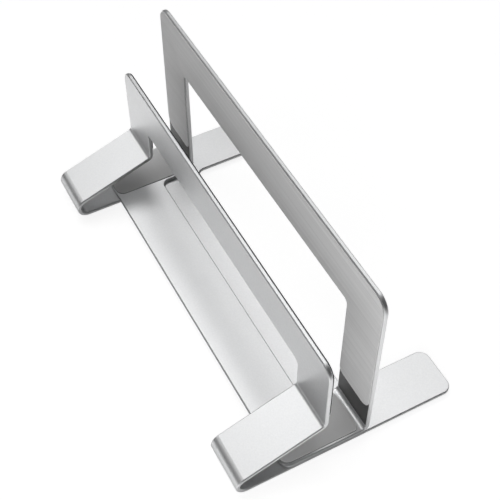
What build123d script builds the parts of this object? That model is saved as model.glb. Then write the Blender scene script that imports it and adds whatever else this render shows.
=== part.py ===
from build123d import *
import os
from math import cos, radians, tan

# A vertical laptop stand made of two folded aluminium sheets.
# Frame: +X runs along the stand's length, -Y is the front with the ramps, +Z is up.
# The origin is on the desk, under the middle of the stand. All sizes are in millimetres.

# The two sheets
STAND_LENGTH = 250.0        # along X, the same for both sheets
SHEET = 2.5                 # sheet thickness
BEND_RADIUS = 2.5           # inner radius of the square folds
EDGE_BREAK = 0.5            # chamfer along every cut edge
LEG_WIDTH = 30.5            # ramps, floor strips, tabs and uprights at each end

# Front stand
FRONT_HEIGHT = 83.0         # desk to the top of the front plate
FRONT_BAND = 30.0           # height of the front plate over its cut-away middle
FOLD_HEIGHT = 32.2          # desk to where the ramp's top meets the front plate
RAMP_ANGLE = 19.3           # ramp to floor, in degrees
NOSE_RADIUS = 4.7           # inner radius of the tight fold at the front
FLOOR_BAR_FRONT = -14.0     # front edge of the bar that joins the strips, from the front plate's face
FLOOR_BAR_REAR = 31.2       # rear edge of that bar
TAB_REACH = 86.3            # end of the rear tabs, from the front plate's face
FRONT_CORNER = 8.0          # outer top corners of the front plate
FRONT_WINDOW_CORNER = 3.5   # inner corners of the cut-away
TAB_CORNER = 6.0            # corners of the tabs and of the floor bar's edges

# Rear frame
REAR_HEIGHT = 122.0         # desk to the top of the upright
REAR_BAND = 32.5            # height of the upright's top bar
REAR_CORNER = 9.0           # outer top corners of the upright
REAR_WINDOW_CORNER = 2.8    # upper corners of its window
BASE_AHEAD = 51.6           # base, from the upright's front face to its front edge
BASE_BAND = 30.6            # base, from its front edge to the cut-out
BASE_CORNER = 6.0           # front corners of the base
CUTOUT_CORNER = 4.5         # front corners of the base's cut-out

# The slot and its pads
SLOT_CLEAR = 23.9           # between the two upright pads
PAD = 0.6                   # thickness of every slot pad
PAD_INSET = 0.6             # upright pads, sheet edge to pad edge: they end just inside the chamfer
BASE_PAD_SIDE = 1.6         # base pads, at both sides
BASE_PAD_FRONT = 0.5        # base pads, behind the base's front edge
BASE_PAD_REAR = 1.0         # base pads, ahead of the fold
REAR_PAD_BOTTOM = 26.5      # desk to the feet of the rear frame's pad
FRONT_PAD_BOTTOM = 36.0     # desk to the feet of the front plate's pad
PAD_FOOT_OUTER = 7.0        # outer corner of a pad's foot
PAD_FOOT_INNER = 4.0        # inner corner of a pad's foot
PAD_REAR_CORNER = 2.8       # rear corners of the base pads

# How the rear frame slides and is clamped
CLOSING = 8.0               # travel towards the front plate
OPENING = 18.0              # travel towards the rear tabs
SLIDE_FILM = 0.05           # between the floor and the base that slides on it
SCREW_SETBACK = 10.0        # front screws, behind the base's front edge
SCREW_PITCH = 26.0          # front screws to rear screws
SCREW_DIAMETER = 3.0
SCREW_HEAD = 5.6            # head diameter at the underside
SCREW_END_GAP = 0.1         # screw tip below the base's top
HEAD_RECESS = 0.15          # head below the strip's underside
SLOT_PLAY = 0.15            # screw to slot, each side
THREAD_PLAY = 0.03          # screw to tapped hole
HEX_KEY = 2.0               # socket in the head, across flats
HEX_DEPTH = 0.9

# Feet
FOOT_HEIGHT = 1.5
FOOT_LENGTH = 20.0          # along X
FOOT_WIDTH = 12.0           # along Y
FOOT_CORNER = 5.0
FOOT_INSET = 4.0            # feet, from the nose's fold and from the tab's end

# Levels and places that follow from the sizes above
HALF = STAND_LENGTH / 2
INNER_X = HALF - LEG_WIDTH
STRIP_X = HALF - LEG_WIDTH / 2
FLOOR_TOP = FOOT_HEIGHT + SHEET
BASE_BOTTOM = FLOOR_TOP + SLIDE_FILM
BASE_TOP = BASE_BOTTOM + SHEET
REAR_FACE = SHEET + SLOT_CLEAR + 2 * PAD
BASE_FRONT = REAR_FACE - BASE_AHEAD
FRONT_WINDOW_TOP = FRONT_HEIGHT - FRONT_BAND
REAR_WINDOW_TOP = REAR_HEIGHT - REAR_BAND
NOSE_OUTER = NOSE_RADIUS + SHEET
RAMP_SLOPE = tan(radians(RAMP_ANGLE))
RAMP_CORNER_Y = (FOOT_HEIGHT - FOLD_HEIGHT) / RAMP_SLOPE
NOSE_Y = RAMP_CORNER_Y + NOSE_OUTER / tan(radians(RAMP_ANGLE / 2))
CENTRE_Y = (TAB_REACH + NOSE_Y - NOSE_OUTER) / 2
FRONT_SCREW_Y = BASE_FRONT + SCREW_SETBACK
REAR_SCREW_Y = FRONT_SCREW_Y + SCREW_PITCH
FAR = 2 * (REAR_HEIGHT + TAB_REACH)     # longer than anything that is cut


def outline(plane, corners):
    """A face in a plane, from its (u, v, radius) corners in order; a radius of 0 stays square."""
    points = [(u, v) for u, v, _ in corners]
    radii = [radius for _, _, radius in corners]
    return plane * make_face(FilletPolyline(*points, radius=radii, close=True))


def bent_sheet(points, radii):
    """A folded sheet over the full length: its show face runs through (y, z) points, folds rounded."""
    show_face = FilletPolyline(*points, radius=radii)
    section = make_face(offset(show_face, SHEET, side=Side.LEFT))
    return extrude(Plane.YZ * section, HALF, both=True)


def front_view(corners):
    """A cutter or blank seen from the front, endless along Y, from (x, z, radius) corners."""
    return extrude(outline(Plane.XZ, corners), FAR, both=True)


def top_view(corners):
    """A cutter or blank seen from above, endless along Z, from (x, y, radius) corners."""
    return extrude(outline(Plane.XY, corners), FAR, both=True)


def sharp_edges(solid):
    """The edges between a sheet's two faces and its cut edge; tangent seams are left out."""
    sharp = ShapeList()
    for edge in solid.edges():
        middle = edge @ 0.5
        normals = [face.normal_at(middle) for face in solid.faces() if edge in face.edges()]
        if len(normals) == 2 and normals[0].get_angle(normals[1]) > 25:
            sharp.append(edge)
    return sharp


def broken_edges(sheet):
    """The sheet with a fine chamfer along every cut edge, as it is before anodising."""
    return chamfer(sharp_edges(sheet), EDGE_BREAK)


def upright_outline(height, corner):
    """An upright seen from the front, with rounded top corners."""
    return [(-HALF, -FAR, 0), (HALF, -FAR, 0), (HALF, height, corner), (-HALF, height, corner)]


def clamp_slot(x):
    """What a floor strip loses to its two screws: a long slot, countersunk from below."""
    shank = SCREW_DIAMETER / 2 + SLOT_PLAY
    mouth = SCREW_HEAD / 2 + HEAD_RECESS + SLOT_PLAY
    half_section = [(0, FOOT_HEIGHT), (mouth, FOOT_HEIGHT), (shank, FOOT_HEIGHT + mouth - shank),
                    (shank, FLOOR_TOP), (0, FLOOR_TOP)]
    half = Plane.XZ * make_face(Polyline(*half_section, close=True))
    front, rear = FRONT_SCREW_Y - CLOSING, REAR_SCREW_Y + OPENING
    run = extrude(half + mirror(half, Plane.YZ), rear - front, dir=(0, 1, 0))
    end = revolve(half, Axis.Z)
    return Pos(x, front, 0) * (run + end + Pos(0, rear - front, 0) * end)


def front_stand():
    """Front plate, two ramps, two noses, floor strips with their bar, and rear tabs, all one sheet."""
    show_face = [(0, FRONT_HEIGHT), (0, FOLD_HEIGHT), (RAMP_CORNER_Y, FOOT_HEIGHT), (TAB_REACH, FOOT_HEIGHT)]
    sheet = bent_sheet(show_face, [BEND_RADIUS, NOSE_OUTER])
    sheet &= front_view(upright_outline(FRONT_HEIGHT, FRONT_CORNER))
    sheet &= top_view([(-HALF, -FAR, 0), (HALF, -FAR, 0), (HALF, TAB_REACH, TAB_CORNER),
                       (INNER_X, TAB_REACH, TAB_CORNER), (INNER_X, FLOOR_BAR_REAR, TAB_CORNER),
                       (-INNER_X, FLOOR_BAR_REAR, TAB_CORNER), (-INNER_X, TAB_REACH, TAB_CORNER),
                       (-HALF, TAB_REACH, TAB_CORNER)])
    below_fold = (FLOOR_TOP + FOLD_HEIGHT) / 2
    window = front_view([(-INNER_X, below_fold, 0), (INNER_X, below_fold, 0),
                         (INNER_X, FRONT_WINDOW_TOP, FRONT_WINDOW_CORNER),
                         (-INNER_X, FRONT_WINDOW_TOP, FRONT_WINDOW_CORNER)])
    ahead_of_bar = top_view([(-INNER_X, -FAR, 0), (INNER_X, -FAR, 0),
                             (INNER_X, FLOOR_BAR_FRONT, TAB_CORNER),
                             (-INNER_X, FLOOR_BAR_FRONT, TAB_CORNER)])
    sheet = broken_edges(sheet - window - ahead_of_bar)
    for side in (-1, 1):
        sheet -= clamp_slot(side * STRIP_X)
    return sheet


def screw_places():
    """The (x, y) places of the four clamp screws at rest."""
    return [(side * STRIP_X, y) for side in (-1, 1) for y in (FRONT_SCREW_Y, REAR_SCREW_Y)]


def rear_frame():
    """Upright and base, one sheet, with one window that runs over the fold into the base."""
    show_face = [(REAR_FACE, REAR_HEIGHT), (REAR_FACE, BASE_TOP), (BASE_FRONT, BASE_TOP)]
    sheet = bent_sheet(show_face, [BEND_RADIUS])
    sheet &= front_view(upright_outline(REAR_HEIGHT, REAR_CORNER))
    sheet &= top_view([(-HALF, FAR, 0), (-HALF, BASE_FRONT, BASE_CORNER),
                       (HALF, BASE_FRONT, BASE_CORNER), (HALF, FAR, 0)])
    window = front_view([(-INNER_X, -FAR, 0), (INNER_X, -FAR, 0),
                         (INNER_X, REAR_WINDOW_TOP, REAR_WINDOW_CORNER),
                         (-INNER_X, REAR_WINDOW_TOP, REAR_WINDOW_CORNER)])
    cutout_front = BASE_FRONT + BASE_BAND
    window &= top_view([(-INNER_X, FAR, 0), (-INNER_X, cutout_front, CUTOUT_CORNER),
                        (INNER_X, cutout_front, CUTOUT_CORNER), (INNER_X, FAR, 0)])
    sheet = broken_edges(sheet - window)
    for x, y in screw_places():
        tapped = Cylinder(SCREW_DIAMETER / 2 + THREAD_PLAY, 4 * SHEET)
        sheet -= Pos(x, y, BASE_TOP) * tapped
    return sheet


def upright_pad(face_y, height, window_top, bottom, corner, window_corner):
    """A pad on an upright's slot side: an inverted U, set in from the sheet's edges, from face_y to +Y."""
    outer = HALF - PAD_INSET
    inner = INNER_X + PAD_INSET
    top = height - PAD_INSET
    band = window_top + PAD_INSET
    shape = [(-outer, bottom, PAD_FOOT_OUTER), (-outer, top, corner - PAD_INSET),
             (outer, top, corner - PAD_INSET), (outer, bottom, PAD_FOOT_OUTER),
             (inner, bottom, PAD_FOOT_INNER), (inner, band, window_corner + PAD_INSET),
             (-inner, band, window_corner + PAD_INSET), (-inner, bottom, PAD_FOOT_INNER)]
    return Pos(0, face_y, 0) * extrude(outline(Plane.XZ, shape), PAD, dir=(0, 1, 0))


def base_pad(side):
    """A pad on the base, under the laptop's edge: side is -1 for left and 1 for right."""
    near, far = side * (INNER_X + BASE_PAD_SIDE), side * (HALF - BASE_PAD_SIDE)
    front, rear = BASE_FRONT + BASE_PAD_FRONT, REAR_FACE - BEND_RADIUS - BASE_PAD_REAR
    corner = BASE_CORNER - BASE_PAD_FRONT
    shape = [(near, front, corner), (far, front, corner),
             (far, rear, PAD_REAR_CORNER), (near, rear, PAD_REAR_CORNER)]
    return Pos(0, 0, BASE_TOP) * extrude(outline(Plane.XY, shape), PAD, dir=(0, 0, 1))


def foot(side, front_y):
    """A rubber foot under a floor strip, from front_y to the rear."""
    half = FOOT_LENGTH / 2
    corners = [(-half, 0), (half, 0), (half, FOOT_WIDTH), (-half, FOOT_WIDTH)]
    shape = [(x, y, FOOT_CORNER) for x, y in corners]
    return Pos(side * STRIP_X, front_y, 0) * extrude(outline(Plane.XY, shape), FOOT_HEIGHT, dir=(0, 0, 1))


def clamp_screw():
    """One countersunk screw, head down, its axis on Z."""
    shank, head = SCREW_DIAMETER / 2, SCREW_HEAD / 2
    under, tip = FOOT_HEIGHT + HEAD_RECESS, BASE_TOP - SCREW_END_GAP
    half = [(0, under), (head, under), (shank, under + head - shank), (shank, tip), (0, tip)]
    screw = revolve(Plane.XZ * make_face(Polyline(*half, close=True)), Axis.Z)
    key = RegularPolygon(HEX_KEY / 2, 6, major_radius=False)
    return screw - Pos(0, 0, under) * extrude(key, HEX_DEPTH, dir=(0, 0, 1))


def clamp_screws():
    """The four screws, alike, as separate solids of one group."""
    screw = clamp_screw()
    return Part() + [Pos(x, y, 0) * screw for x, y in screw_places()]


def all_parts():
    """Every node of the stand, by name, with the front plate's face at y = 0."""
    parts = {
        "front_stand": front_stand(),
        "rear_frame": rear_frame(),
        "front_plate_pad": upright_pad(SHEET, FRONT_HEIGHT, FRONT_WINDOW_TOP, FRONT_PAD_BOTTOM,
                                       FRONT_CORNER, FRONT_WINDOW_CORNER),
        "rear_frame_pad": upright_pad(REAR_FACE - PAD, REAR_HEIGHT, REAR_WINDOW_TOP, REAR_PAD_BOTTOM,
                                      REAR_CORNER, REAR_WINDOW_CORNER),
        "slot_pad_left": base_pad(-1),
        "slot_pad_right": base_pad(1),
        "clamp_screws": clamp_screws(),
    }
    feet_y = {"front": NOSE_Y + FOOT_INSET, "rear": TAB_REACH - FOOT_INSET - FOOT_WIDTH}
    for end, y in feet_y.items():
        parts[f"foot_pad_{end}_left"] = foot(-1, y)
        parts[f"foot_pad_{end}_right"] = foot(1, y)
    return parts


os.makedirs("parts", exist_ok=True)
for name, shape in all_parts().items():
    export_step(Pos(0, -CENTRE_Y, 0) * shape, f"parts/{name}.step")
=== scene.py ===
# %% [markdown]
# # A vertical laptop stand of folded sheet
# Two folded aluminium sheets make this stand. The front stand is a plate, two ramps and a flat floor.
# The taller rear frame slides on that floor, and a closed laptop stands on edge between the two.
# The sheets come from a CAD model with their folds, windows and chamfers, so they are kept as they are.
# This lesson adds what CAD leaves out: soft pads, feet, screws with threads, finishes, light and a camera.

from math import cos, radians, sin

import bmesh
import bpy
from mathutils import Matrix, Vector


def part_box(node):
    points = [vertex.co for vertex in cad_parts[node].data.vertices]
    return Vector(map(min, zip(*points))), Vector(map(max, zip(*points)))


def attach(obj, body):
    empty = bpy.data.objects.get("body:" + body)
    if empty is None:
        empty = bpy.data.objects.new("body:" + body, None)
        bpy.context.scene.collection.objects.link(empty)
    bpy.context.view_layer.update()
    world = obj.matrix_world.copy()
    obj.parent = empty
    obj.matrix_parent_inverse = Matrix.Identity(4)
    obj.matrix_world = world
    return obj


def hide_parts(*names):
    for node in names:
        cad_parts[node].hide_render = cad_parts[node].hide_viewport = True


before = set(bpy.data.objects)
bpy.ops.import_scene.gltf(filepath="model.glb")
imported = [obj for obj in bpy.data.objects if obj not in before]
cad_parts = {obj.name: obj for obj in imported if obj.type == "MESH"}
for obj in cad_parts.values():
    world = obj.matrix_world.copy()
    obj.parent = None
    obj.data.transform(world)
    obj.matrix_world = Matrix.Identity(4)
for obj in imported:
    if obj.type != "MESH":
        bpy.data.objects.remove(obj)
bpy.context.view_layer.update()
MM = 0.001
print("nodes:", sorted(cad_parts))

# %% [markdown]
# ## The camera
# A product photograph is taken from a few lengths away, so that the near and the far end keep nearly the
# same size. Such a camera is easiest to set by the point it aims at, a compass angle, a height angle and
# a distance. The roll is the small tilt of a camera that was held almost level.

# %% Place the camera
AIM = Vector((0.4, 4.87, 30.0)) * MM
DISTANCE = 630.9 * MM
COMPASS, HEIGHT_ANGLE, ROLL = 62.168, 51.274, -0.148        # in degrees
SENSOR, LENS = 36, 76.25                                    # sensor width and focal length, in mm


def aimed_camera(name):
    """A camera that looks at AIM from DISTANCE away."""
    turn = (Matrix.Rotation(radians(COMPASS), 4, "Z") @ Matrix.Rotation(radians(90 - HEIGHT_ANGLE), 4, "X")
            @ Matrix.Rotation(radians(ROLL), 4, "Z"))
    data = bpy.data.cameras.new(name)
    data.sensor_width = SENSOR
    data.lens = LENS
    camera = bpy.data.objects.new(name, data)
    camera.matrix_world = Matrix.Translation(AIM + turn.to_3x3() @ Vector((0, 0, DISTANCE))) @ turn
    bpy.context.scene.collection.objects.link(camera)
    return camera


camera = aimed_camera("camera")
bpy.context.scene.camera = camera
bpy.context.scene.view_settings.view_transform = "Standard"
print("camera at, in mm:", [round(v / MM, 1) for v in camera.matrix_world.translation])

# %% [markdown]
# ## Materials in a few lines
# A material is a small network of nodes. Three helpers keep each network readable: one makes a material
# with its main shader, one adds a node, sets its values and joins what feeds it, and one names a neutral
# colour. A value given as a socket is linked, and any other value is written into the input.

# %% Three helpers for materials
def new_material(name, **inputs):
    """A material with a Principled shader: returns the material, its node tree and the shader."""
    material = bpy.data.materials.new(name)
    material.use_nodes = True
    tree = material.node_tree
    shader = tree.nodes["Principled BSDF"]
    for socket, value in inputs.items():
        shader.inputs[socket.replace("_", " ")].default_value = value
    return material, tree, shader


def node(tree, kind, inputs=None, **settings):
    """Adds one node. Inputs go by name or number; a socket is linked, a value is written."""
    made = tree.nodes.new(kind)
    for key, value in settings.items():
        setattr(made, key, value)
    for key, value in (inputs or {}).items():
        if isinstance(value, bpy.types.NodeSocket):
            tree.links.new(value, made.inputs[key])
        else:
            made.inputs[key].default_value = value
    return made


def grey(level):
    """A neutral colour."""
    return level, level, level, 1


print("helpers ready")

# %% [markdown]
# ## The floor
# The stand is photographed on a white sweep. A wide plane is enough. What a ray sees of it depends on the
# ray: the camera sees a floor that is nearly white by itself and still takes a soft shadow, the metal
# mirrors a white sweep, and all other light falls on an ordinary pale floor. Close to the stand the sweep
# lies in the stand's own shade, and the sweep has an end, so its mirrored glow is a ring round the stand.

# %% Make the floor
FLOOR_SIZE = 6.0
FLOOR_PALE = 0.8                            # the tone that ordinary light falls on
FLOOR_SEEN, FLOOR_GLOW = 0.30, 0.84         # for the camera: the part that takes shadow, and the rest
# GLOW_UNDER is painted shade: the mirrored glow is emission, which takes no shadow, so the stand's shade is
# painted into it as a dim patch under and round the stand.
GLOW_UNDER, GLOW_RING = 0.06, 0.64          # the mirrored glow under the stand and in the ring round it
FOOTPRINT = 0.125, 0.070, 0.0               # half of the stand's length and depth
RING_STARTS, RING_ENDS = (0.0, 0.03), (0.07, 0.20)


def ramp_of(tree, value, span, low, high):
    """A number that runs smoothly from low to high while the value crosses a span."""
    return node(tree, "ShaderNodeMapRange", {"Value": value, "From Min": span[0], "From Max": span[1],
                                             "To Min": low, "To Max": high},
                interpolation_type="SMOOTHSTEP").outputs[0]


def glow_round_stand(tree):
    """The strength of the mirrored glow, by the distance from the stand's footprint."""
    away = node(tree, "ShaderNodeTexCoord").outputs["Object"]
    for operation, other in (("ABSOLUTE", (0, 0, 0)), ("SUBTRACT", FOOTPRINT), ("MAXIMUM", (0, 0, 0))):
        away = node(tree, "ShaderNodeVectorMath", {0: away, 1: other}, operation=operation).outputs[0]
    distance = node(tree, "ShaderNodeVectorMath", {0: away}, operation="LENGTH").outputs["Value"]
    inner = ramp_of(tree, distance, RING_STARTS, GLOW_UNDER, GLOW_RING)
    outer = ramp_of(tree, distance, RING_ENDS, 1, 0)
    return node(tree, "ShaderNodeMath", {0: inner, 1: outer}, operation="MULTIPLY").outputs[0]


def floor_material():
    """A floor that camera rays, mirrored rays and all other light meet in three different ways."""
    material, tree, shader = new_material("pale_floor")
    tree.nodes.remove(shader)
    path = node(tree, "ShaderNodeLightPath")
    plain = node(tree, "ShaderNodeBsdfDiffuse", {"Color": grey(FLOOR_PALE)})
    sweep = node(tree, "ShaderNodeEmission", {"Color": grey(1), "Strength": glow_round_stand(tree)})
    mirrored = node(tree, "ShaderNodeAddShader", {0: plain.outputs[0], 1: sweep.outputs[0]})
    shaded = node(tree, "ShaderNodeBsdfDiffuse", {"Color": grey(FLOOR_SEEN)})
    glow = node(tree, "ShaderNodeEmission", {"Color": grey(1), "Strength": FLOOR_GLOW})
    seen = node(tree, "ShaderNodeAddShader", {0: shaded.outputs[0], 1: glow.outputs[0]})
    lit = node(tree, "ShaderNodeMixShader",
               {"Fac": path.outputs["Is Glossy Ray"], 1: plain.outputs[0], 2: mirrored.outputs[0]})
    whole = node(tree, "ShaderNodeMixShader",
                 {"Fac": path.outputs["Is Camera Ray"], 1: lit.outputs[0], 2: seen.outputs[0]})
    tree.links.new(whole.outputs[0], tree.nodes["Material Output"].inputs["Surface"])
    return material


bpy.ops.object.select_all(action="DESELECT")
bpy.ops.mesh.primitive_plane_add(size=FLOOR_SIZE, location=(0, 0, 0))
floor = bpy.context.object
floor.name = "floor"
floor.data.materials.append(floor_material())
print("the floor is", FLOOR_SIZE, "m wide")

# %% [markdown]
# ## The light
# Satin metal shows its surroundings more than its own colour, so the surroundings are what is lit here.
# The world is a dim room with large soft boxes in it, which together make a band of light overhead. Each
# box is a smooth patch of brightness round one direction, given by a compass angle, a height angle, how
# far it spreads and how bright it is. Seen directly, the room is plain white. One small lamp below the
# camera fills the shade between the sheets. It stands close by, so the near end of the pads gets more of
# it than the far end. It isn't mirrored, so it lightens the soft pads and leaves the metal as it is.

# %% Light the room
ROOM = 0.04                 # the dim room between the boxes
# Each box: compass angle, height angle and spread in degrees, and strength.
SOFT_BOXES = [(120, 60, 25, 0.5), (140, 60, 22, 0.65), (167, 70, 33, 1.0), (180, 58, 22, 0.7),
              (195, 53, 26, 0.95), (205, 62, 24, 0.95), (222, 33, 14, 1.2), (272, 47, 24, 1.0)]
LAMP_PLACE, LAMP_SIZE, LAMP_WATTS = Vector((0.36, -0.16, 0.14)), 0.16, 0.39


def toward(compass, height):
    """The direction of a compass angle, from +X towards +Y, and a height angle, both in degrees."""
    level = cos(radians(height))
    return level * cos(radians(compass)), level * sin(radians(compass)), sin(radians(height))


def with_soft_box(tree, direction, so_far, compass, height, spread, strength):
    """Adds a smooth patch of light: full at its middle, nothing beyond spread degrees from it."""
    near = node(tree, "ShaderNodeVectorMath", {0: direction, 1: toward(compass, height)},
                operation="DOT_PRODUCT")
    patch = node(tree, "ShaderNodeMapRange",
                 {"Value": near.outputs["Value"], "From Min": cos(radians(spread)), "To Max": strength},
                 interpolation_type="SMOOTHSTEP")
    return node(tree, "ShaderNodeMath", {0: so_far, 1: patch.outputs["Result"]}, operation="ADD").outputs[0]


def studio(name):
    """A world with the soft boxes in it, plain white where the camera sees it directly."""
    world = bpy.data.worlds.new(name)
    world.use_nodes = True
    tree = world.node_tree
    direction = node(tree, "ShaderNodeTexCoord").outputs["Generated"]
    light = ROOM
    for box in SOFT_BOXES:
        light = with_soft_box(tree, direction, light, *box)
    seen = node(tree, "ShaderNodeLightPath").outputs["Is Camera Ray"]
    light = node(tree, "ShaderNodeMath", {0: light, 1: seen}, operation="MAXIMUM").outputs[0]
    background = tree.nodes["Background"]
    background.inputs["Color"].default_value = grey(1)
    tree.links.new(light, background.inputs["Strength"])
    return world


def fill_lamp(name):
    """A square lamp that faces the stand."""
    data = bpy.data.lights.new(name, "AREA")
    data.energy, data.size = LAMP_WATTS, LAMP_SIZE
    lamp = bpy.data.objects.new(name, data)
    lamp.location = LAMP_PLACE
    lamp.visible_glossy = False
    lamp.rotation_euler = LAMP_PLACE.to_track_quat("Z", "Y").to_euler()
    bpy.context.scene.collection.objects.link(lamp)
    return lamp


bpy.context.scene.world = studio("studio")
lamp = fill_lamp("fill_lamp")
print("soft boxes:", len(SOFT_BOXES), "and one lamp at, in mm:", [round(v / MM) for v in lamp.location])

# %% [markdown]
# ## Anodised aluminium
# The sheets are blasted with fine beads and then anodised. Close up, that is a grain of tiny pits under a
# clear skin, so the gloss is soft and even. Noise makes it in layers: a fine bump for the pits, a slow
# drift in roughness and tone from uneven blasting, and a speckle of lighter and darker specks, which
# still shows from further away. The edges wear first, so they are more even and a little rougher. A Bevel
# node finds them, because it bends the normal near an edge.

# %% Make the metal
GRAIN = 4200                # pits per metre, about a quarter of a millimetre each
SPECKS = 1100               # specks per metre
DRIFT = 38                  # patches per metre
METAL_TONES = (0.62, 0.625, 0.63, 1), (0.79, 0.795, 0.80, 1)
METAL_ROUGH = 0.38, 0.45
SPECK_SHARE = 0.6           # how much of the tone comes from the specks; the rest is the patches
EDGE_TONE = 0.70, 0.705, 0.71, 1
EDGE_ROUGH = 0.52
EDGE_REACH = 0.25 * MM
SAME_FACE, OTHER_FACE = 0.97, 0.90      # how alike two directions are on a flat face, and across an edge
SKIN = 0.92                 # 1 is bare metal; the anodised skin scatters the rest


def near_edge(tree, reach):
    """A mask that is 1 beside an edge and 0 on a flat or gently bent face."""
    bent = node(tree, "ShaderNodeBevel", {"Radius": reach}, samples=6)
    flat = node(tree, "ShaderNodeNewGeometry")
    alike = node(tree, "ShaderNodeVectorMath", {0: bent.outputs[0], 1: flat.outputs["Normal"]},
                 operation="DOT_PRODUCT")
    return node(tree, "ShaderNodeMapRange", {"Value": alike.outputs["Value"], "From Min": SAME_FACE,
                                             "From Max": OTHER_FACE}).outputs["Result"]


def tones(tree, mask, low, high):
    """A colour that runs from low to high as the mask goes from 0 to 1."""
    mix = node(tree, "ShaderNodeMix", {0: mask}, data_type="RGBA")
    for socket, colour in ((6, low), (7, high)):
        if isinstance(colour, bpy.types.NodeSocket):
            tree.links.new(colour, mix.inputs[socket])
        else:
            mix.inputs[socket].default_value = colour
    return mix.outputs[2]


def levels(tree, mask, low, high):
    """A number that runs from low to high as the mask goes from 0 to 1."""
    made = node(tree, "ShaderNodeMapRange", {"Value": mask, "To Min": low, "To Max": high})
    return made.outputs["Result"]


def noise(tree, place, scale, detail=2.0):
    """Soft noise between 0 and 1."""
    made = node(tree, "ShaderNodeTexNoise", {"Vector": place, "Scale": scale, "Detail": detail})
    return made.outputs["Fac"]


def bumped(tree, shader, height, strength, depth):
    """Bends the light on a surface as hills and pits of a given depth would."""
    bump = node(tree, "ShaderNodeBump", {"Height": height, "Strength": strength, "Distance": depth})
    tree.links.new(bump.outputs[0], shader.inputs["Normal"])


def anodised_metal():
    """Bead-blasted, anodised aluminium."""
    material, tree, shader = new_material("anodised_aluminium", Metallic=SKIN)
    place = node(tree, "ShaderNodeTexCoord").outputs["Object"]
    patches = noise(tree, place, DRIFT, detail=4.0)
    specks = noise(tree, place, SPECKS, detail=3.0)
    blend = node(tree, "ShaderNodeMix", {0: SPECK_SHARE, 2: patches, 3: specks},
                 data_type="FLOAT").outputs[0]
    edge = near_edge(tree, EDGE_REACH)
    tree.links.new(tones(tree, edge, tones(tree, blend, *METAL_TONES), EDGE_TONE),
                   shader.inputs["Base Color"])
    face_rough = levels(tree, patches, *METAL_ROUGH)
    rough = node(tree, "ShaderNodeMix", {0: edge, 2: face_rough, 3: EDGE_ROUGH}, data_type="FLOAT")
    tree.links.new(rough.outputs[0], shader.inputs["Roughness"])
    bumped(tree, shader, noise(tree, place, GRAIN), strength=0.25, depth=0.02 * MM)
    return material


def finish(piece, *materials):
    """Gives a piece its materials, in the order of its slots."""
    piece.data.materials.clear()
    for material in materials:
        piece.data.materials.append(material)


metal = anodised_metal()
for sheet in ("front_stand", "rear_frame"):
    finish(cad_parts[sheet], metal)
print("metal on the two sheets")

# %% [markdown]
# ## Modelling by hand, in code
# The soft pieces are modelled with the same tools as by hand: add a primitive at its size and place, go
# into edit mode, select, and run an operator. Selecting is done by place, with a test on each corner,
# edge or face. The transform is applied at the start, so that edit mode works in the stand's own frame.

# %% Four helpers for modelling
def start(name, add_primitive, full_size=(1, 1, 1), **settings):
    """Adds a primitive, sets its full size and opens it in edit mode."""
    bpy.ops.object.select_all(action="DESELECT")
    add_primitive(**settings)
    piece = bpy.context.object
    piece.name = piece.data.name = name
    piece.scale = full_size
    bpy.ops.object.transform_apply(location=True, rotation=True, scale=True)
    bpy.ops.object.mode_set(mode="EDIT")
    return piece


def select(piece, kind, test=lambda part: True):
    """Selects the corners, edges or faces that pass a test, and nothing else."""
    bpy.ops.mesh.select_mode(type={"verts": "VERT", "edges": "EDGE", "faces": "FACE"}[kind])
    bpy.ops.mesh.select_all(action="DESELECT")
    mesh = bmesh.from_edit_mesh(piece.data)
    for part in [part for part in getattr(mesh, kind) if test(part)]:
        part.select_set(True)
    bmesh.update_edit_mesh(piece.data)


def extrude(by):
    """Pulls a new layer out of what is selected."""
    bpy.ops.mesh.extrude_region_move(TRANSFORM_OT_translate={"value": by})


def end(piece):
    """Leaves edit mode with faces outwards and smooth shading, and says whether the mesh is closed."""
    bpy.ops.mesh.select_all(action="SELECT")
    bpy.ops.mesh.normals_make_consistent(inside=False)
    mesh = bmesh.from_edit_mesh(piece.data)
    open_edges = sum(len(edge.link_faces) != 2 for edge in mesh.edges)
    bpy.ops.object.mode_set(mode="OBJECT")
    bpy.ops.object.shade_smooth_by_angle(angle=radians(40))
    print(f"{piece.name}: {len(piece.data.polygons)} faces, {open_edges} open edges")
    return piece


print("ready to model")

# %% [markdown]
# ## The pads on the two uprights
# Each upright carries a thin pad on its slot side, shaped like an upside-down U to leave the window open.
# The pad is two sheets: black adhesive foam on the metal, and silicone on the foam. On the front plate the
# foam reaches past the silicone and shows there as a black line. On the taller upright the black foam runs
# on down both legs to the fold, and there it is painted shade: a dark sheet where the bare metal of the
# legs lies in shade. Each sheet starts as a plane of its full size. Three cuts and a deletion take the
# window out, the corners are rounded one radius at a time, and an extrusion gives the thickness. The
# silicone's rim is rounded, as a moulded edge is.

# %% Model the pads shaped like an upside-down U
GAP_HALF = 95.1 * MM            # half the gap between a pad's legs
SUNK = 0.03 * MM                # the silicone is pressed this far into the foam
SOFT_RIM = 0.2 * MM             # the rounding of the silicone's rim, where it is thick enough
FOOT_RADII = 7, 4               # the outer and the inner corner of a pad's foot, in mm
FOLD_RADII = 1, 1               # the same where the foam ends at the fold
TINY = 0.01 * MM


def is_at(value, target):
    """Whether a place is the one that is looked for."""
    return abs(value - target) < TINY


def round_corners(piece, radius, test, steps=8):
    """Rounds a flat outline at each corner that passes a test."""
    select(piece, "verts", test)
    bpy.ops.mesh.bevel(offset_type="OFFSET", offset=radius, segments=steps, affect="VERTICES", profile=0.5)


def thicken(piece, by, rim=0.0):
    """Gives a flat outline its thickness and, if asked, rounds the rim of its outer face."""
    select(piece, "faces")
    extrude(by)
    direction = by.normalized()
    top = max(direction.dot(v.co) for v in bmesh.from_edit_mesh(piece.data).verts)
    if rim:
        select(piece, "edges", lambda e: all(is_at(direction.dot(v.co), top) for v in e.verts))
        bpy.ops.mesh.bevel(offset_type="OFFSET", offset=rim, segments=3, affect="EDGES", profile=0.5)


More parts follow.
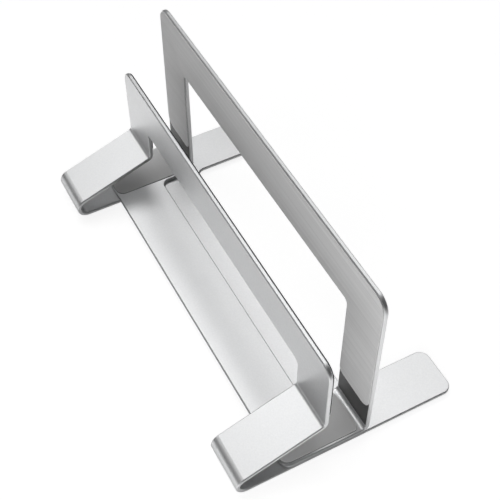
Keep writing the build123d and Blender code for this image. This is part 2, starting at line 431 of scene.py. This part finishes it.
def u_sheet(name, wall, depth, high, foot, window_top, inset, radii, rim=0.0):
    """A sheet cut as an upside-down U, set in all round except at its feet. It starts at y = wall and is
    depth thick; depth has a sign. The radii are those of the corners, from the top down."""
    wide, tall, gap, window_top = high.x - inset, high.z - inset, GAP_HALF + inset, window_top + inset
    piece = start(name, bpy.ops.mesh.primitive_plane_add, (2 * wide, tall - foot, 1), size=1,
                  location=(0, wall, (tall + foot) / 2), rotation=(radians(90), 0, 0))
    for at, across in (((gap, 0, 0), (1, 0, 0)),
                       ((-gap, 0, 0), (1, 0, 0)),
                       ((0, 0, window_top), (0, 0, 1))):
        select(piece, "faces")
        bpy.ops.mesh.bisect(plane_co=at, plane_no=across)
    select(piece, "faces", lambda f: abs(f.calc_center_median().x) < gap
           and f.calc_center_median().z < window_top)
    bpy.ops.mesh.delete(type="FACE")
    select(piece, "faces")
    bpy.ops.mesh.dissolve_limited(angle_limit=radians(1))
    for radius, x, z in zip(radii, (wide, gap, wide, gap), (tall, window_top, foot, foot)):
        round_corners(piece, radius * MM, lambda v: is_at(abs(v.co.x), x) and is_at(v.co.z, z))
    thicken(piece, Vector((0, depth, 0)), rim)
    return end(piece)


def upright_pad(name, stands_for, facing, window_top, corners, foam, foam_inset, silicone_inset,
                foam_foot=None):
    """Foam and silicone in the box of the CAD pad they stand for. Facing is +1 or -1 along Y."""
    low, high = (Vector(corner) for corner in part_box(stands_for))
    wall = low.y if facing > 0 else high.y
    # With foam_foot, the black foam runs on below the silicone down to that height: painted shade on the
    # legs.
    foam_feet = FOLD_RADII if foam_foot else FOOT_RADII
    backing = u_sheet(name + "_foam", wall, facing * foam, high, foam_foot or low.z, window_top,
                      foam_inset, (*corners, *foam_feet))
    skin = high.y - low.y - foam + SUNK
    cover = u_sheet(name + "_silicone", wall + facing * (foam - SUNK), facing * skin, high, low.z,
                    window_top, silicone_inset, (*corners, *FOOT_RADII), rim=min(skin / 2, SOFT_RIM))
    return backing, cover


front_pad = upright_pad("front_plate", "front_plate_pad", +1, window_top=53.6 * MM, corners=(7.4, 4.1),
                        foam=0.55 * MM, foam_inset=0, silicone_inset=0.9 * MM)
# The rear pad's foam runs on down to the fold as painted shade, a black sheet where the legs lie in shade.
rear_pad = upright_pad("rear_frame", "rear_frame_pad", -1, window_top=90.1 * MM, corners=(8.4, 3.4),
                       foam=0.15 * MM, foam_inset=0.15 * MM, silicone_inset=0, foam_foot=9.4 * MM)

# %% [markdown]
# ## The pads under the laptop
# Two flat pads on the sliding base carry the laptop's edge. They have the same two sheets, each from a
# plane that lies down. The left pad is a copy of the right one with meshes of its own, because both ends
# of the stand are cut from the same die.

# %% Model one flat pad and copy it
def copied(piece, name, by):
    """A copy with its own mesh, moved by a distance, with its place in its mesh."""
    bpy.ops.object.select_all(action="DESELECT")
    piece.select_set(True)
    bpy.context.view_layer.objects.active = piece
    bpy.ops.object.duplicate_move(TRANSFORM_OT_translate={"value": by})
    twin = bpy.context.object
    twin.name = twin.data.name = name
    bpy.ops.object.transform_apply(location=True, rotation=True, scale=True)
    return twin


BASE_FOAM, BASE_INSET, BASE_RIM = 0.2 * MM, 0.1 * MM, 0.15 * MM
FRONT_CORNER, REAR_CORNER = 5.5 * MM, 2.8 * MM


def flat_sheet(name, low, high, depth, inset=0.0, rim=0.0):
    """A lying sheet between two corners, from low.z upwards, set in all round."""
    full_size = high.x - low.x - 2 * inset, high.y - low.y - 2 * inset, 1
    piece = start(name, bpy.ops.mesh.primitive_plane_add, full_size, size=1,
                  location=((low.x + high.x) / 2, (low.y + high.y) / 2, low.z))
    round_corners(piece, FRONT_CORNER, lambda v: is_at(v.co.y, low.y + inset))
    round_corners(piece, REAR_CORNER, lambda v: is_at(v.co.y, high.y - inset), steps=6)
    thicken(piece, Vector((0, 0, depth)), rim)
    return end(piece)


low, high = (Vector(corner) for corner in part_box("slot_pad_right"))
raised = low + Vector((0, 0, BASE_FOAM - SUNK))
right_pad = (flat_sheet("base_foam_right", low, high, BASE_FOAM),
             flat_sheet("base_silicone_right", raised, high, high.z - raised.z, BASE_INSET, BASE_RIM))
pad_step = Vector(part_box("slot_pad_left")[0]) - low
left_pad = tuple(copied(sheet, sheet.name.replace("right", "left"), pad_step) for sheet in right_pad)
print("the left pad is", round(-pad_step.x / MM, 1), "mm from the right one")

# %% [markdown]
# ## Silicone and foam
# The pads on the uprights have very fine lines along their length, left by the calender rolls that the
# sheet was pressed between. Noise stretched about a hundred times along one axis makes such lines. The
# same lines drive a faint tone and a shallow bump. The flat pads are a darker, smoother grade. The foam
# under each pad is nearly black and full of small cells, which a Voronoi texture gives. Its closed skin
# is fairly glossy, so at a low angle it mirrors the white floor, and its cut rim is matt. The direction
# that a face points in tells the two apart.

# %% Make silicone and foam
LINES_ACROSS, LINES_ALONG = 700, 6      # lines per metre across them, and along them
SILICONE_ROUGH = 0.45, 0.56
CELLS = 5000                            # foam cells per metre
FOAM_TONES = grey(0.012), grey(0.03)
SKIN_ROUGH, CUT_ROUGH = (0.28, 0.40), 0.8
SKIN_GLOSS, CUT_GLOSS = 0.36, 0.05


def silicone(name, low, high, line_strength):
    """Grey silicone between two tones, with fine lines along X."""
    material, tree, shader = new_material(name)
    place = node(tree, "ShaderNodeTexCoord").outputs["Object"]
    stretched = node(tree, "ShaderNodeMapping",
                     {"Vector": place, "Scale": (LINES_ALONG, LINES_ACROSS, LINES_ACROSS)}).outputs[0]
    lines = noise(tree, stretched, 1.0)
    tree.links.new(tones(tree, lines, grey(low), grey(high)), shader.inputs["Base Color"])
    tree.links.new(levels(tree, noise(tree, place, DRIFT), *SILICONE_ROUGH), shader.inputs["Roughness"])
    bumped(tree, shader, lines, strength=line_strength, depth=0.02 * MM)
    return material


def foam_material():
    """Black closed-cell foam, with a glossy skin where it faces along Y and a matt cut rim."""
    material, tree, shader = new_material("adhesive_foam")
    place = node(tree, "ShaderNodeTexCoord").outputs["Object"]
    cells = node(tree, "ShaderNodeTexVoronoi", {"Vector": place, "Scale": CELLS}).outputs["Distance"]
    tree.links.new(tones(tree, cells, *FOAM_TONES), shader.inputs["Base Color"])
    outward = node(tree, "ShaderNodeNewGeometry").outputs["Normal"]
    across = node(tree, "ShaderNodeSeparateXYZ", {0: outward}).outputs["Y"]
    skin = node(tree, "ShaderNodeMath", {0: across}, operation="ABSOLUTE").outputs[0]
    tree.links.new(levels(tree, skin, CUT_GLOSS, SKIN_GLOSS), shader.inputs["Specular IOR Level"])
    tree.links.new(levels(tree, skin, CUT_ROUGH, levels(tree, cells, *SKIN_ROUGH)),
                   shader.inputs["Roughness"])
    bumped(tree, shader, cells, strength=0.2, depth=0.01 * MM)
    return material


lined = silicone("lined_silicone", low=0.66, high=0.88, line_strength=0.3)
smooth = silicone("smooth_silicone", low=0.61, high=0.63, line_strength=0.08)
foam = foam_material()


def belongs(piece, body, stands_for):
    """Attaches a piece to the body it moves with and hides the CAD node it stands for."""
    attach(piece, body)
    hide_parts(stands_for)


for (backing, cover), body, stands_for, skin, slot in (
        (front_pad, "stand", "front_plate_pad", lined, "lined_silicone"),
        (rear_pad, "sliding_frame", "rear_frame_pad", lined, "lined_silicone"),
        (left_pad, "sliding_frame", "slot_pad_left", smooth, "slot_rubber"),
        (right_pad, "sliding_frame", "slot_pad_right", smooth, "slot_rubber")):
    finish(backing, foam)
    finish(cover, skin)
    belongs(backing, body, stands_for)
    belongs(cover, body, stands_for)
print("four pads in silicone and foam")

# %% [markdown]
# ## Feet
# Four black rubber feet under the floor strips keep the metal off the desk. A foot starts as a block. Its
# upright edges are rounded into a soft rectangle, its lower rim is rounded off, and its underside is set
# in twice to leave a shallow tray with a lip round it, which grips better than a flat face.

# %% Model one foot and copy it
FOOT_ROUND, FOOT_SOFT = 5 * MM, 0.45 * MM       # its corners seen from above, and its lower rim
LIP, TRAY_WALL, TRAY_DEPTH = 1.3 * MM, 0.35 * MM, 0.3 * MM


def foot_pad(name, stands_for):
    """A foot in the box of the CAD foot it stands for."""
    low, high = (Vector(corner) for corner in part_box(stands_for))
    piece = start(name, bpy.ops.mesh.primitive_cube_add, high - low, size=1, location=(low + high) / 2)
    select(piece, "edges", lambda e: is_at(e.verts[0].co.x, e.verts[1].co.x)
           and is_at(e.verts[0].co.y, e.verts[1].co.y))
    bpy.ops.mesh.bevel(offset_type="OFFSET", offset=FOOT_ROUND, segments=8, affect="EDGES", profile=0.5)
    select(piece, "edges", lambda e: all(is_at(v.co.z, low.z) for v in e.verts))
    bpy.ops.mesh.bevel(offset_type="OFFSET", offset=FOOT_SOFT, segments=4, affect="EDGES", profile=0.5)
    select(piece, "faces", lambda f: all(is_at(v.co.z, low.z) for v in f.verts))
    bpy.ops.mesh.inset(thickness=LIP, depth=0)
    bpy.ops.mesh.inset(thickness=TRAY_WALL, depth=-TRAY_DEPTH)
    return end(piece)


feet = {"foot_pad_front_left": foot_pad("foot_front_left", "foot_pad_front_left")}
first_corner = Vector(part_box("foot_pad_front_left")[0])
for place in ("front_right", "rear_left", "rear_right"):
    step = Vector(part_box("foot_pad_" + place)[0]) - first_corner
    feet["foot_pad_" + place] = copied(feet["foot_pad_front_left"], "foot_" + place, step)
print("feet:", sorted(piece.name for piece in feet.values()))

# %% [markdown]
# ## Black rubber
# Moulded rubber is never one flat black. Its surface is faintly uneven and a little dusty, so noise moves
# the tone and the gloss a little, and a fine bump breaks up the highlight.

# %% Make the rubber for the feet
DUST, FINE_GRAIN = 160, 2500        # patches of dust and grains per metre
RUBBER_TONES = grey(0.022), grey(0.045)
RUBBER_ROUGH = 0.5, 0.72


def foot_rubber():
    """Black moulded rubber."""
    material, tree, shader = new_material("foot_rubber", Specular_IOR_Level=0.4)
    place = node(tree, "ShaderNodeTexCoord").outputs["Object"]
    dust = noise(tree, place, DUST, detail=6.0)
    tree.links.new(tones(tree, dust, *RUBBER_TONES), shader.inputs["Base Color"])
    tree.links.new(levels(tree, dust, *RUBBER_ROUGH), shader.inputs["Roughness"])
    bumped(tree, shader, noise(tree, place, FINE_GRAIN), strength=0.3, depth=0.04 * MM)
    return material


rubber = foot_rubber()
for stands_for, foot in feet.items():
    finish(foot, rubber)
    belongs(foot, "stand", stands_for)
print("four feet in rubber")

# %% [markdown]
# ## Clamp screws
# Four countersunk screws come up through the long slots and hold the sliding frame. A screw is turned
# from one ring of edges: pulled up and drawn in for the cone, then pulled up in small steps, in and out,
# for the thread. The drive is a hexagon that is bridged to the head's rim and pulled in.

# %% Model one screw and copy it
HEAD, SHANK, ROOT = 2.8 * MM, 1.5 * MM, 1.24 * MM
PITCH, HEAD_RIM = 0.5 * MM, 0.12 * MM
KEY_CORNER, KEY_DEPTH = 1.155 * MM, 0.9 * MM


def draw_in(to_radius, from_radius, axis):
    """Draws the selected ring in or out round an axis."""
    share = to_radius / from_radius
    bpy.ops.transform.resize(value=(share, share, 1), center_override=axis)


def clamp_screw(name, axis, under, tip):
    """A countersunk screw round an upright axis, from the underside of its head to its tip."""
    piece = start(name, bpy.ops.mesh.primitive_circle_add, vertices=48, radius=HEAD - HEAD_RIM,
                  fill_type="NOTHING", location=(axis.x, axis.y, under))
    steps = [(HEAD_RIM, HEAD), (HEAD - SHANK - HEAD_RIM, SHANK)]
    turns = int((tip - under - (HEAD - SHANK)) / PITCH)
    steps += [(PITCH / 2, ROOT), (PITCH / 2, SHANK)] * turns
    steps += [(tip - under - sum(rise for rise, _ in steps), ROOT)]
    radius = HEAD - HEAD_RIM
    select(piece, "edges")
    for rise, next_radius in steps:
        extrude((0, 0, rise))
        draw_in(next_radius, radius, axis)
        radius = next_radius
    bpy.ops.mesh.edge_face_add()
    bpy.ops.mesh.select_all(action="DESELECT")
    bpy.ops.mesh.primitive_circle_add(vertices=6, radius=KEY_CORNER, fill_type="NOTHING",
                                      location=(axis.x, axis.y, under))
    select(piece, "edges", lambda e: all(is_at(v.co.z, under) for v in e.verts))
    bpy.ops.mesh.bridge_edge_loops()
    select(piece, "edges", lambda e: all(is_at(v.co.z, under) and (v.co.xy - axis.xy).length < HEAD / 2
                                         for v in e.verts))
    extrude((0, 0, KEY_DEPTH))
    bpy.ops.mesh.edge_face_add()
    return end(piece)


screws_low, screws_high = (Vector(corner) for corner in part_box("clamp_screws"))
axes = {(where, side): Vector((x, y, 0))
        for where, y in (("front", screws_low.y + HEAD), ("rear", screws_high.y - HEAD))
        for side, x in (("left", screws_low.x + HEAD), ("right", screws_high.x - HEAD))}
first_axis = axes["front", "left"]
first_screw = clamp_screw("clamp_screw_front_left", first_axis, screws_low.z, screws_high.z)
screws = [first_screw] + [copied(first_screw, "clamp_screw_" + "_".join(key), axis - first_axis)
                          for key, axis in axes.items() if axis is not first_axis]
print("screws:", [screw.name for screw in screws])

# %% [markdown]
# ## Plain steel
# The screws are turned and then zinc plated, so their gloss is sharper than the sheets' and slightly
# cloudy. Noise in the tone and the roughness gives the clouds. Noise squeezed along the axis gives a bump
# of fine turning marks.

# %% Make the steel
CLOUDS = 700                    # clouds per metre
MARKS = 500, 500, 9000          # turning marks per metre, close together along the axis
STEEL_TONES = (0.50, 0.50, 0.51, 1), (0.60, 0.60, 0.61, 1)
STEEL_ROUGH = 0.22, 0.38


def screw_steel():
    """Zinc-plated steel."""
    material, tree, shader = new_material("screw_steel", Metallic=1.0)
    place = node(tree, "ShaderNodeTexCoord").outputs["Object"]
    clouds = noise(tree, place, CLOUDS, detail=5.0)
    tree.links.new(tones(tree, clouds, *STEEL_TONES), shader.inputs["Base Color"])
    tree.links.new(levels(tree, clouds, *STEEL_ROUGH), shader.inputs["Roughness"])
    marks = node(tree, "ShaderNodeMapping", {"Vector": place, "Scale": MARKS}).outputs[0]
    bumped(tree, shader, noise(tree, marks, 1.0), strength=0.2, depth=0.01 * MM)
    return material


steel = screw_steel()
for screw in screws:
    finish(screw, steel)
    belongs(screw, "sliding_frame", "clamp_screws")
print("four screws in steel")
